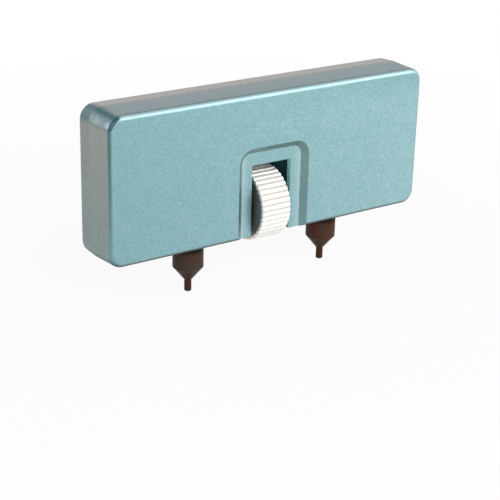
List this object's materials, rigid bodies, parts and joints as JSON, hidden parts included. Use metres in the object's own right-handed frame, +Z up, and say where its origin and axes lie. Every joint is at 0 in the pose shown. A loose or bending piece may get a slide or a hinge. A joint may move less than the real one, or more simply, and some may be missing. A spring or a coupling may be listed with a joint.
{
  "type": "watch case back opener",
  "caption": "Pocket case back opener: a knurled thumb wheel in a flat painted metal body spreads or closes the sliding foot pins below it.",
  "frame": {"origin": "midway between the tips of the foot pins, on the plane that they touch, at the middle of the body's thickness", "axes": "+X along the body and the spindle, to the right as the user faces the front shell; +Y from the front shell to the rear cover; +Z up, from the pin tips to the body"},
  "size_m": [0.0774, 0.0152, 0.0415],
  "materials": {
    "body_paint": "metallic blue-green paint on die-cast zinc",
    "wheel_plating": "bright nickel plate, straight knurl",
    "spindle_steel": "bright turned steel",
    "fastener_steel": "zinc-plated steel",
    "bearing_brass": "machined brass",
    "pin_oxide": "brown-black oxide on hardened steel"
  },
  "bodies": {
    "housing": {"front_shell": "body_paint", "rear_cover": "body_paint", "cover_screws": "fastener_steel", "alignment_dowels": "fastener_steel", "left_inner_bush": "bearing_brass", "right_inner_bush": "bearing_brass", "left_end_bush": "bearing_brass", "right_end_bush": "bearing_brass", "left_thrust_washer": "spindle_steel", "right_thrust_washer": "spindle_steel"},
    "drive": {"spindle": "spindle_steel", "thumb_wheel": "wheel_plating"},
    "left_jaw": {"left_jaw_block": "bearing_brass", "left_pin": "pin_oxide", "left_lock_screw": "fastener_steel"},
    "right_jaw": {"right_jaw_block": "bearing_brass", "right_pin": "pin_oxide", "right_lock_screw": "fastener_steel"}
  },
  "joints": [
    {"name": "wheel_spin", "type": "hinge", "parent": "housing", "child": "drive", "pos_m": [0, 0, 0.0164], "axis": [-1, 0, 0], "range_deg": [-2880, 6480]},
    {"name": "left_jaw_slide", "type": "slide", "parent": "housing", "child": "left_jaw", "axis": [-1, 0, 0], "range_m": [-0.00562, 0.01262]},
    {"name": "right_jaw_slide", "type": "slide", "parent": "housing", "child": "right_jaw", "axis": [1, 0, 0], "range_m": [-0.00562, 0.01262]}
  ],
  "couplings": [
    {"joint": "left_jaw_slide", "follows": "wheel_spin", "m_per_rad": 0.00011141},
    {"joint": "right_jaw_slide", "follows": "wheel_spin", "m_per_rad": 0.00011141}
  ]
}
